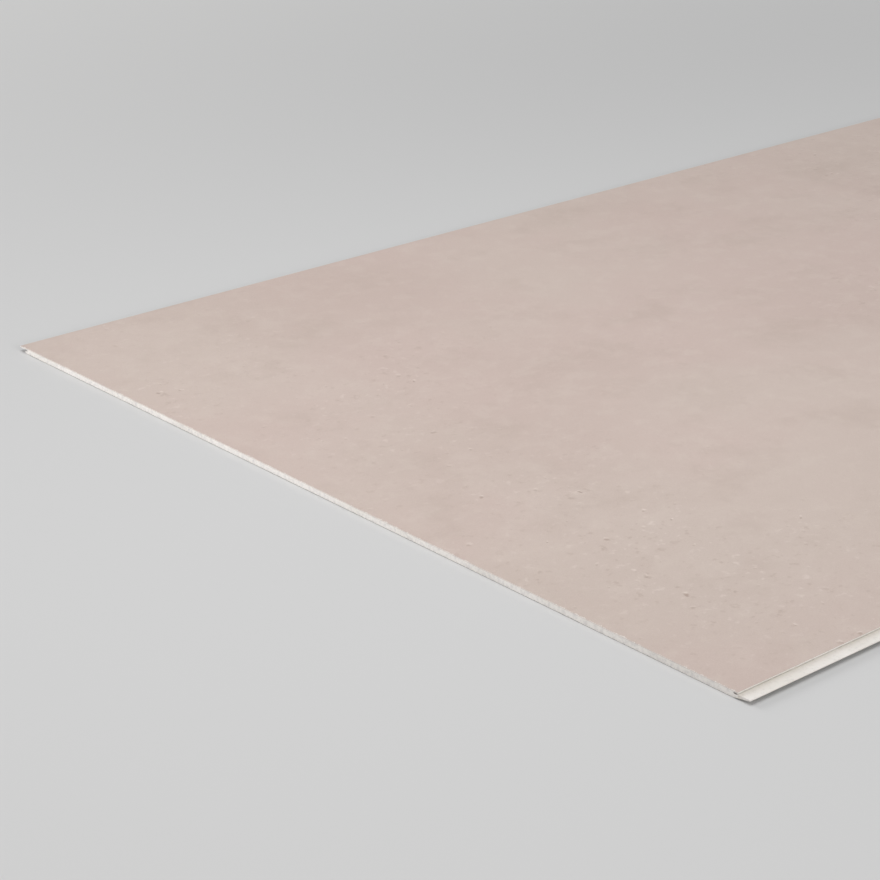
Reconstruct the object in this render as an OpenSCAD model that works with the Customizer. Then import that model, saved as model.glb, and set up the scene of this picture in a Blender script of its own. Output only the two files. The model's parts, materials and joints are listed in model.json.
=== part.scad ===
// Flat plastic wall panel with a stone-look face.
// One solid board: a wedge tongue runs along one long edge, and the other long edge has
// the matching groove under an overlapping upper lip. Both ends are sawn square.
// The board lies on its back, face up, with its length along X and the tongue on the -Y side.
// The origin is at the centre of its back, midway between the tongue's nose and the upper lip's edge.

/* [Board] */
// Length of the board
board_l = 2600; // [1000:50:3000]
// Width of the face, from joint line to joint line
cover_w = 900; // [300:10:1250]
// Thickness of the board
board_t = 5; // [4.5:0.1:8]
// Bevel along the long edges of the face
face_bevel = 0.3; // [0.1:0.05:0.5]

/* [Tongue] */
// Length of the tongue past the joint line
tongue_l = 11.5; // [10:0.5:16]
// Step from the face down to the tongue's top
tongue_drop = 1.5; // [1.3:0.1:2]
// Thickness of the tongue at its rounded nose
nose_t = 0.9; // [0.6:0.1:1.2]
// How far behind the joint line the tongue's underside leaves the back
heel_l = 4; // [2:0.5:8]
// Height of the relief slot over the tongue's root
relief_h = 0.4; // [0.2:0.1:0.7]
// Depth of the relief slot behind the joint line
relief_d = 2; // [0.8:0.1:3]

/* [Groove] */
// Play between the tongue and the groove that takes it
joint_play = 0.15; // [0.05:0.05:0.3]
// Free space ahead of the nose of a seated tongue
nose_gap = 0.5; // [0.2:0.1:1]
// How far the lower lip stands back from the upper lip
lip_setback = 8; // [5:0.5:9.5]
// Chamfer on the back corner of the lower lip
lip_chamfer = 1.4; // [0.4:0.1:1.5]

/* [Hidden] */
$fn = 48;

// How far a cutting shape runs past the board
overcut = 1;
// Joint lines, across the board from the groove side to the tongue side
tongue_line = (cover_w - tongue_l) / 2;
groove_line = tongue_line - cover_w;
// Level of the tongue's top above the back
tongue_top = board_t - tongue_drop;
nose_r = nose_t / 2;
stone_greige = [0.80, 0.75, 0.71];

// Where a line from a point touches the underside of a circle
function touch_below(from, centre, r) =
    let (
        way = centre - from,
        far = norm(way),
        reach = sqrt(far * far - r * r),
        angle = atan2(way[1], way[0]) - asin(r / far)
    )
    from + reach * [cos(angle), sin(angle)];

// Level of the line from a to b at the place x
function level_at(x, a, b) = a[1] + (b[1] - a[1]) * (x - a[0]) / (b[0] - a[0]);

// Joint sections start at their joint line, x = 0, and run out along the tongue, with the back at y = 0.

// Outline of the board, square on the groove side and with its tongue on the other
module board_outline() {
    heel = [-heel_l, 0];
    nose = [tongue_l - nose_r, tongue_top - nose_r];
    underside_end = touch_below(heel, nose, nose_r);
    difference() {
        polygon([
            [-cover_w, 0],
            [-cover_w, board_t - face_bevel],
            [face_bevel - cover_w, board_t],
            [-face_bevel, board_t],
            [0, board_t - face_bevel],
            [0, tongue_top],
            [tongue_l, tongue_top],
            [tongue_l, level_at(tongue_l, heel, underside_end)],
            heel
        ]);
        nose_corners(nose, underside_end);
    }
}

// What is trimmed off a square tongue end to leave the nose round, up to where its underside begins
module nose_corners(nose, underside_end) {
    difference() {
        polygon([
            nose,
            nose + [0, nose_t],
            nose + [nose_t, nose_t],
            nose + [nose_t, -nose_t],
            nose + 2 * (underside_end - nose)
        ]);
        translate(nose) circle(r = nose_r);
    }
}

// Round-ended slot that undercuts the shoulder over the tongue's root
module relief_slot() {
    end_r = relief_h / 2;
    translate([end_r - relief_d, tongue_top]) {
        square([relief_d - end_r + overcut, relief_h]);
        translate([0, end_r]) circle(r = end_r);
    }
}

// Room for the next board's tongue: the slot between the lips and the rebate in front of the lower one
module groove_room() {
    roof = tongue_top + joint_play;
    end_r = nose_r + joint_play;
    end = [tongue_l + nose_gap - nose_r, tongue_top - nose_r];
    heel = [-heel_l, -joint_play];
    floor_end = touch_below(heel, end, end_r);
    polygon([
        [-overcut, -overcut],
        [-overcut, roof],
        [end[0], roof],
        floor_end,
        [lip_setback, level_at(lip_setback, heel, floor_end)],
        [lip_setback, lip_chamfer],
        [lip_setback + lip_chamfer, 0],
        [lip_setback + lip_chamfer, -overcut]
    ]);
    translate(end) circle(r = end_r);
}

// Cross section of the board, from the groove side to the tongue side
module board_section() {
    difference() {
        translate([tongue_line, 0]) board_outline();
        translate([tongue_line, 0]) relief_slot();
        translate([groove_line, 0]) groove_room();
    }
}

module wall_panel() {
    color(stone_greige)
        rotate([90, 0, -90])
            linear_extrude(height = board_l, center = true)
                board_section();
}

wall_panel();
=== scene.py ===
"""Looks of the plastic wall panel: its printed stone face, its white core, the floor, light and camera."""
import json
import math

import bmesh
import bpy
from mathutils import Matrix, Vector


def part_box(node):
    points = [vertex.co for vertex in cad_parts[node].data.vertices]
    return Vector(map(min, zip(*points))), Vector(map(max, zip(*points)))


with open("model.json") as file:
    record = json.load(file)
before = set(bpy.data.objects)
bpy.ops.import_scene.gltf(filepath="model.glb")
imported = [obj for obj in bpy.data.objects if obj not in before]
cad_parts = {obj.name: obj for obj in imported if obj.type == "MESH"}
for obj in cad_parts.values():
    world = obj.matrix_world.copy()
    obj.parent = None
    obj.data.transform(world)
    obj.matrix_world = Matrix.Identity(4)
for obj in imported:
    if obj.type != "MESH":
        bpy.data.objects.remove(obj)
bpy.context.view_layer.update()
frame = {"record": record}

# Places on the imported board, in metres: its corners, its face, and the line where its tongue starts
board_low, board_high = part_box("wall_panel")
board_end = board_high[0]
board_top = board_high[2]
mounts = {mount["name"]: mount["pos_m"] for mount in frame["record"]["mounts"]}
joint_line = mounts["tongue_edge"][1]

# Thickness of the printed film, whose edge shows on the bevels and on the sawn ends
film_t = 0.00008
# Height of the finest relief on the board
relief_h = 0.00025
# Distance between the points that may hold a pit, the share of them that do, and a pit's radius
pit_spacing = 0.021
pit_share = 0.2
pit_r_least = 0.0012
pit_r_most = 0.0036
# How far a pit's pale rim lies from it, both along and across the board
rim_shift = 0.002
# How far out from the tongue's root the painted shade of the shoulder reaches
shoulder_shade_reach = 0.0085
# How far in from the sawn ends the film may be chipped away, and how much of it is left there
end_chip = 0.0019
chip_film = 0.35
# How deep a sawn end's own look goes, and how far down from the face the sawn end turns rosier
saw_skin = 0.0001
rosy_top_l = 0.0016
# Painted shade on each sawn end: a dark patch where the slot opens, standing in for the shade deep inside
# it.
# The patch's middle, in from the joint line and up, and its half sizes
slot_shade_in = 0.0019
slot_shade_up = 0.00355
slot_shade_half_w = 0.0022
slot_shade_half_h = 0.0006


def srgb(red, green, blue):
    """A colour read off a screen, 0 to 255, as the linear colour that a shader takes."""
    def linear(level):
        part = level / 255
        return part / 12.92 if part <= 0.04045 else ((part + 0.055) / 1.055) ** 2.4
    return (linear(red), linear(green), linear(blue), 1.0)


# Colours of the print
beige = srgb(205, 189, 180)
rosy = srgb(204, 185, 177)
taupe = srgb(188, 170, 160)
pale_sand = srgb(214, 201, 191)
umber = srgb(158, 132, 118)
chalk = srgb(233, 222, 215)
ash = srgb(194, 181, 171)
# Colours of the core, and the painted shades on it
warm_white = srgb(241, 236, 231)
ivory = srgb(234, 229, 222)
core_grey = srgb(210, 204, 199)
# Painted shade for the tongue's root, below the shoulder
painted_shoulder_shade = srgb(211, 201, 189)
saw_grey = srgb(200, 195, 194)
# Painted shade for where the slot opens on the sawn ends
painted_slot_shade = srgb(108, 100, 96)
# Colours of the floor, under the board and far from it
floor_grey = srgb(210, 210, 210)
floor_white = srgb(244, 244, 243)


class Amount:
    """A number in a material, on which ordinary sums can be done."""

    def __init__(self, finish, socket):
        self.finish = finish
        self.socket = socket

    def sum(self, operation, *numbers):
        return self.finish.amount("ShaderNodeMath", {"operation": operation}, dict(enumerate(numbers)))

    def __add__(self, other):
        return self.sum("ADD", self, other)

    def __radd__(self, other):
        return self.sum("ADD", other, self)

    def __sub__(self, other):
        return self.sum("SUBTRACT", self, other)

    def __rsub__(self, other):
        return self.sum("SUBTRACT", other, self)

    def __mul__(self, other):
        return self.sum("MULTIPLY", self, other)

    def __rmul__(self, other):
        return self.sum("MULTIPLY", other, self)

    def __gt__(self, other):
        return self.sum("GREATER_THAN", self, other)

    def __lt__(self, other):
        return self.sum("LESS_THAN", self, other)

    def __abs__(self):
        return self.sum("ABSOLUTE", self)

    def rise(self, start, end):
        """A smooth step from 0 at start to 1 at end."""
        settings = {"interpolation_type": "SMOOTHSTEP"}
        sockets = {"Value": self, "From Min": start, "From Max": end}
        return self.finish.amount("ShaderNodeMapRange", settings, sockets, output="Result")


class Finish:
    """The nodes of a material, or of the sky, under construction."""

    def __init__(self, owner):
        owner.use_nodes = True
        self.owner = owner
        self.tree = owner.node_tree
        self.tree.nodes.clear()
        self.place = self.node("ShaderNodeTexCoord").outputs["Object"]

    def node(self, kind, settings=None, sockets=None):
        """Adds a node: its settings first, then its sockets, each given a value, a socket or an Amount."""
        node = self.tree.nodes.new(kind)
        for name, value in (settings or {}).items():
            setattr(node, name, value)
        for name, value in (sockets or {}).items():
            source = value.socket if isinstance(value, Amount) else value
            if isinstance(source, bpy.types.NodeSocket):
                self.tree.links.new(source, node.inputs[name])
            else:
                node.inputs[name].default_value = source
        return node

    def amount(self, kind, settings=None, sockets=None, output=0):
        return Amount(self, self.node(kind, settings, sockets).outputs[output])

    def along(self, way):
        """The place along the way X, Y or Z, in metres."""
        return self.amount("ShaderNodeSeparateXYZ", {}, {"Vector": self.place}, output=way)

    def noise(self, size, detail, roughness, start, stretch=(1, 1, 1)):
        """Cloudy noise, 0.5 on average, its clouds about size metres across. start picks a part of it."""
        scale = [1 / (size * way) for way in stretch]
        spot = self.node("ShaderNodeMapping", {}, {"Vector": self.place, "Location": start, "Scale": scale})
        sockets = {"Vector": spot.outputs[0], "Scale": 1.0, "Detail": detail, "Roughness": roughness}
        return self.amount("ShaderNodeTexNoise", {}, sockets, output="Fac")

    def spots(self, spacing, ragged, start):
        """Scattered points: the way to the nearest, in metres, and three numbers of its own from 0 to 1.

        ragged is how far, in metres, the spots' outlines are pushed about.
        """
        ripples_per_spacing = 3.3
        sockets = {"Vector": self.place, "Scale": ripples_per_spacing / spacing, "Detail": 1.0}
        wobble = self.node("ShaderNodeTexNoise", {}, sockets)
        sockets = {0: wobble.outputs["Color"], 1: (ragged,) * 3, 2: [way - ragged / 2 for way in start]}
        push = self.node("ShaderNodeVectorMath", {"operation": "MULTIPLY_ADD"}, sockets)
        spot = self.node("ShaderNodeVectorMath", {"operation": "ADD"}, {0: self.place, 1: push.outputs[0]})
        sockets = {"Vector": spot.outputs[0], "Scale": 1 / spacing}
        cells = self.node("ShaderNodeTexVoronoi", {"voronoi_dimensions": "2D"}, sockets)
        own = self.node("ShaderNodeSeparateColor", {}, {"Color": cells.outputs["Color"]})
        gap = Amount(self, cells.outputs["Distance"]) * spacing
        return gap, [Amount(self, own.outputs[part]) for part in ("Red", "Green", "Blue")]

    def mix(self, share, first, second):
        """A colour between first, where share is 0, and second, where it is 1."""
        settings = {"data_type": "RGBA", "clamp_factor": True}
        return self.node("ShaderNodeMix", settings, {0: share, 6: first, 7: second}).outputs[2]

    def surface(self, colour, roughness, relief, depth):
        """Ends the material: relief, from 0 to 1, is depth metres high."""
        bump = self.node("ShaderNodeBump", {}, {"Height": relief, "Distance": depth, "Strength": 1.0})
        sockets = {"Base Color": colour, "Roughness": roughness, "Normal": bump.outputs[0], "IOR": 1.46}
        shader = self.node("ShaderNodeBsdfPrincipled", {}, sockets)
        self.node("ShaderNodeOutputMaterial", {}, {"Surface": shader.outputs[0]})
        return self.owner


def stone_ground(finish):
    """The print's soft ground: beige and rosy clouds, stains, greyish crusts, smudges and mottling."""
    clouds = finish.noise(0.4, detail=4, roughness=0.55, start=(-12.27, -41.772, 22.988))
    stains = finish.noise(0.33, detail=4, roughness=0.55, start=(1.619, -26.337, 12.985))
    crusts = finish.noise(0.5, detail=4, roughness=0.55, start=(87.72, 46.087, 12.99)).rise(0.48, 0.66)
    smudges = finish.noise(0.07, detail=4, roughness=0.62, start=(7.7, 1.4, 3.2))
    mottle = finish.noise(0.024, detail=4, roughness=0.62, start=(1.9, 8.1, 5.6))
    # Each layer shows where its noise is high, and the last number says how strongly
    colour = finish.mix(clouds.rise(0.38, 0.62), beige, rosy)
    colour = finish.mix(stains.rise(0.46, 0.66) * 0.2, colour, taupe)
    colour = finish.mix(crusts * 0.18, colour, ash)
    colour = finish.mix(smudges.rise(0.48, 0.74) * 0.38, colour, taupe)
    colour = finish.mix((1 - mottle).rise(0.46, 0.7) * 0.235, colour, pale_sand)
    return colour, crusts, mottle


def pitting(finish, crowding, start):
    """Small ragged spots, more of them where crowding is high: up to 1 inside them, 0 elsewhere."""
    ragged = 0.35 * pit_spacing
    gap, (pick, girth, strength) = finish.spots(pit_spacing, ragged, start)
    radius = pit_r_least + girth * girth * (pit_r_most - pit_r_least)
    # Where crowding is 0.5, just the share of the points is chosen
    chosen = pick + crowding * 1.6 - 0.8 > 1 - pit_share
    inside = 1 - gap.rise(radius * 0.2, radius)
    # Most pits are faint and a few are strong
    return inside * chosen * (0.3 + strength * strength * strength * 1.1)


def stone_print(finish):
    """The printed face: the soft ground with light and dark flecks and pits in bunches, and fine sand."""
    colour, crusts, mottle = stone_ground(finish)
    crowding = finish.noise(0.42, detail=4, roughness=0.55, start=(29.335, -105.265, 22.988))
    bunches = finish.noise(0.06, detail=2, roughness=0.5, start=(2.6, 7.2, 4.8))
    crowded = (0.05 + crowding.rise(0.43, 0.63) * 0.95) * (0.85 + crusts * 0.3)
    crowded = crowded * (0.55 + bunches.rise(0.38, 0.62) * 0.9)

    flecks = finish.noise(0.0095, detail=2, roughness=0.6, start=(5.3, 2.8, 9.4))
    colour = finish.mix(flecks.rise(0.58, 0.76) * crowded * 0.23, colour, chalk)
    colour = finish.mix((1 - flecks).rise(0.58, 0.76) * crowded * 0.22, colour, umber)

    # Each pit has a pale far side, so the same pits are drawn twice, a little apart
    pit_start = (2.3, 1.7, 0)
    rim_start = (pit_start[0] - rim_shift, pit_start[1] - rim_shift, 0)
    pit_crowding = crowding + (bunches - 0.5) * 0.8
    pits = pitting(finish, pit_crowding, pit_start)
    rims = pitting(finish, pit_crowding, rim_start)
    colour = finish.mix(rims * crowded * 0.32, colour, chalk)
    colour = finish.mix(pits * crowded * 0.35, colour, umber)

    sand = finish.noise(0.0009, detail=2, roughness=0.6, start=(9.1, 3.3, 1.7))
    colour = finish.mix(sand.rise(0.52, 0.72) * 0.1, colour, umber)
    colour = finish.mix((1 - sand).rise(0.54, 0.72) * 0.16, colour, chalk)
    roughness = 0.58 + mottle * 0.1 + pits * 0.12
    relief = 0.6 + mottle * 0.2 + flecks * 0.08 + sand * 0.05 - pits * 0.25
    return colour, roughness, relief


def to_end(finish):
    """How far a place is from the nearer sawn end, in metres."""
    return board_end - abs(finish.along("X"))


def white_core(finish):
    """The plastic under the print: warm white, with painted shade at the tongue's root, and blotched where
    sawn.
    """
    cloud = finish.noise(0.05, detail=3, roughness=0.5, start=(4.4, 0.6, 2.1))
    grain = finish.noise(0.0032, detail=3, roughness=0.65, start=(3.7, 6.6, 1.5))
    marks = finish.noise(0.0012, detail=3, roughness=0.6, start=(6.2, 0.3, 7.9), stretch=(12, 12, 1))
    colour = finish.mix(cloud.rise(0.35, 0.7), warm_white, ivory)
    colour = finish.mix(grain.rise(0.5, 0.72) * 0.45, colour, core_grey)
    colour = finish.mix(marks.rise(0.55, 0.8) * 0.2, colour, core_grey)

    # Painted shade: the tongue's root is darker where the shoulder's shadow falls, fading out along the
    # tongue
    out = joint_line - finish.along("Y")
    shoulder_shade_mask = (out > 0) * (1 - out.rise(0, shoulder_shade_reach))
    colour = finish.mix(shoulder_shade_mask * (0.3 + grain * 0.5), colour, painted_shoulder_shade)

    colour = finish.mix(to_end(finish) < saw_skin, colour, sawn_colour(finish, colour, cloud, out))
    roughness = 0.5 + marks * 0.15
    return colour, roughness, marks * 0.2 + grain * 0.2


def sawn_colour(finish, colour, cloud, out):
    """colour on a sawn end: blotched, rosier near the face, and with a painted shade where the slot opens.

    out is the place out from the joint line, in metres.
    """
    level = finish.along("Z")
    blotches = finish.noise(0.0034, detail=3, roughness=0.65, start=(1.1, 4.9, 8.3))
    colour = finish.mix(blotches.rise(0.42, 0.68) * (0.18 + cloud * 0.52), colour, saw_grey)
    # Rosier towards the face
    colour = finish.mix(level.rise(board_top - rosy_top_l, board_top) * 0.25, colour, rosy)
    # Painted shade: a dark patch where the slot opens on the sawn end
    aside = (out + slot_shade_in) * (1 / slot_shade_half_w)
    above = (level - slot_shade_up) * (1 / slot_shade_half_h)
    spread = aside * aside + above * above
    return finish.mix(1 - spread.rise(0.3, 1.4), colour, painted_slot_shade)


def film_cover(finish):
    """How much the printed film covers the core: all of it on the face, less in the chips at the ends."""
    torn = finish.noise(0.0042, detail=3, roughness=0.65, start=(8.8, 2.5, 0.4)).rise(0.45, 0.8)
    on_top = finish.along("Z") > board_top - film_t
    whole = to_end(finish) > torn * end_chip
    return on_top * (chip_film + whole * (1 - chip_film))


def board_finish():
    """One material for the whole board: the print where the film is, and the white core everywhere else."""
    finish = Finish(bpy.data.materials.new("printed_board"))
    print_colour, print_roughness, print_relief = stone_print(finish)
    core_colour, core_roughness, core_relief = white_core(finish)
    film = film_cover(finish)
    colour = finish.mix(film, core_colour, print_colour)
    roughness = core_roughness + film * (print_roughness - core_roughness)
    relief = core_relief + film * (print_relief - core_relief)
    return finish.surface(colour, roughness, relief, relief_h)


def floor_finish():
    """A plain pale floor, a little paler far from the board, where less of the lamps' light reaches it."""
    # Distances along the board count half, because the board is long
    squeeze = (0.5, 1, 1)
    paler_from = 0.6
    palest_from = 2.4
    haze_h = 0.0001

    finish = Finish(bpy.data.materials.new("studio_floor"))
    squeezed = finish.node("ShaderNodeVectorMath", {"operation": "MULTIPLY"}, {0: finish.place, 1: squeeze})
    sockets = {0: squeezed.outputs[0]}
    distance = finish.amount("ShaderNodeVectorMath", {"operation": "LENGTH"}, sockets, output="Value")
    haze = finish.noise(0.8, detail=2, roughness=0.5, start=(0, 0, 0))
    colour = finish.mix(distance.rise(paler_from, palest_from), floor_grey, floor_white)
    return finish.surface(colour, 0.8 + haze * 0.05, haze, haze_h)


def add_floor():
    half = 20.0
    below = 0.0003
    mesh = bpy.data.meshes.new("studio_floor")
    grid = bmesh.new()
    bmesh.ops.create_grid(grid, x_segments=1, y_segments=1, size=half)
    bmesh.ops.translate(grid, verts=grid.verts, vec=(0, 0, board_low[2] - below))
    grid.to_mesh(mesh)
    grid.free()
    floor = bpy.data.objects.new("studio_floor", mesh)
    bpy.context.collection.objects.link(floor)
    floor.data.materials.append(floor_finish())
    return floor


def add_light(name, kind, settings, place, way):
    """A light at place that shines along way."""
    light = bpy.data.lights.new(name, kind)
    for setting, value in settings.items():
        setattr(light, setting, value)
    holder = bpy.data.objects.new(name, light)
    bpy.context.collection.objects.link(holder)
    holder.visible_camera = False
    holder.location = place
    flat = math.hypot(way[0], way[1])
    holder.rotation_euler = (math.atan2(flat, -way[2]), 0, math.atan2(-way[0], way[1]))
    return holder


def add_lamp(name, place, target, size, watts, spread):
    """A round lamp at place that shines on target, spread degrees wide."""
    way = [end - start for start, end in zip(place, target)]
    settings = {"shape": "DISK", "size": size, "energy": watts, "spread": math.radians(spread)}
    return add_light(name, "AREA", settings, place, way)


def add_overhead_lamp(name, along, watts):
    """A wide lamp that shines straight down, at the place along the board's length."""
    across = -0.02
    height = 1.5
    add_lamp(name, (along, across, height), (along, across, 0), size=1.4, watts=watts, spread=180)


def add_end_lamp(name, side, floor):
    """A low lamp far out on one side, -1 or 1, for the sawn end there. It keeps its light off the floor."""
    place = (side * 4.6, -0.8, 0.26)
    target = (side * board_end, 0.39, 0.05)
    lamp = add_lamp(name, place, target, size=0.5, watts=1.85, spread=33)
    spared = bpy.data.collections.new(name + "_spares")
    spared.objects.link(floor)
    spared.collection_objects[0].light_linking.link_state = "EXCLUDE"
    lamp.light_linking.receiver_collection = spared


def add_sun(name, energy, way):
    """Even light from far away, along way."""
    high_up = (0, 0, 3)
    softness = math.radians(20)
    add_light(name, "SUN", {"angle": softness, "energy": energy}, high_up, way)


def add_sky(level, backdrop):
    """An even sky that lights at level, and that is a pale backdrop wherever it is seen or mirrored."""
    world = bpy.data.worlds.new("studio_sky")
    sky = Finish(world)
    path = sky.node("ShaderNodeLightPath")
    seen = Amount(sky, path.outputs["Is Camera Ray"])
    for kind in ("Is Glossy Ray", "Is Transmission Ray"):
        seen = seen.sum("MAXIMUM", seen, path.outputs[kind])
    sockets = {"Color": (1, 1, 1, 1), "Strength": level + seen * (backdrop - level)}
    glow = sky.node("ShaderNodeBackground", {}, sockets)
    sky.node("ShaderNodeOutputWorld", {}, {"Surface": glow.outputs[0]})
    bpy.context.scene.world = world


def add_camera():
    """The photograph's camera, found from the board's edges in it: a long lens, above the near corner."""
    end_to_camera = -1.11236
    face_middle_to_camera = -1.41803
    face_to_camera = 0.78712
    heading = math.radians(48.8695)
    look_down = math.radians(22.4164)
    photo_size = 880
    focal_pixels = 2444.88
    sensor = 36.0

    view = bpy.data.cameras.new("photo_camera")
    view.sensor_width = sensor
    view.lens = focal_pixels * sensor / photo_size
    view.clip_end = 50
    holder = bpy.data.objects.new("photo_camera", view)
    bpy.context.collection.objects.link(holder)
    face_middle = (joint_line + board_high[1]) / 2
    holder.location = (
        board_low[0] + end_to_camera,
        face_middle + face_middle_to_camera,
        board_top + face_to_camera,
    )
    holder.rotation_euler = (math.pi / 2 - look_down, 0, heading - math.pi / 2)
    bpy.context.scene.camera = holder


board = bpy.data.objects["wall_panel"]
board.material_slots[0].material = board_finish()

floor = add_floor()
add_sky(level=0.4, backdrop=0.55)
add_sun("far_light", energy=1.2, way=(0.3, -2.3, -0.78))
add_sun("near_light", energy=0.9, way=(0.0, 2.6, -0.8))
add_overhead_lamp("left_overhead_lamp", along=-1.28, watts=9.9)
add_overhead_lamp("right_overhead_lamp", along=2.4, watts=10)
add_end_lamp("left_end_lamp", -1, floor)
add_end_lamp("right_end_lamp", 1, floor)
add_camera()
bpy.context.scene.view_settings.view_transform = "Standard"
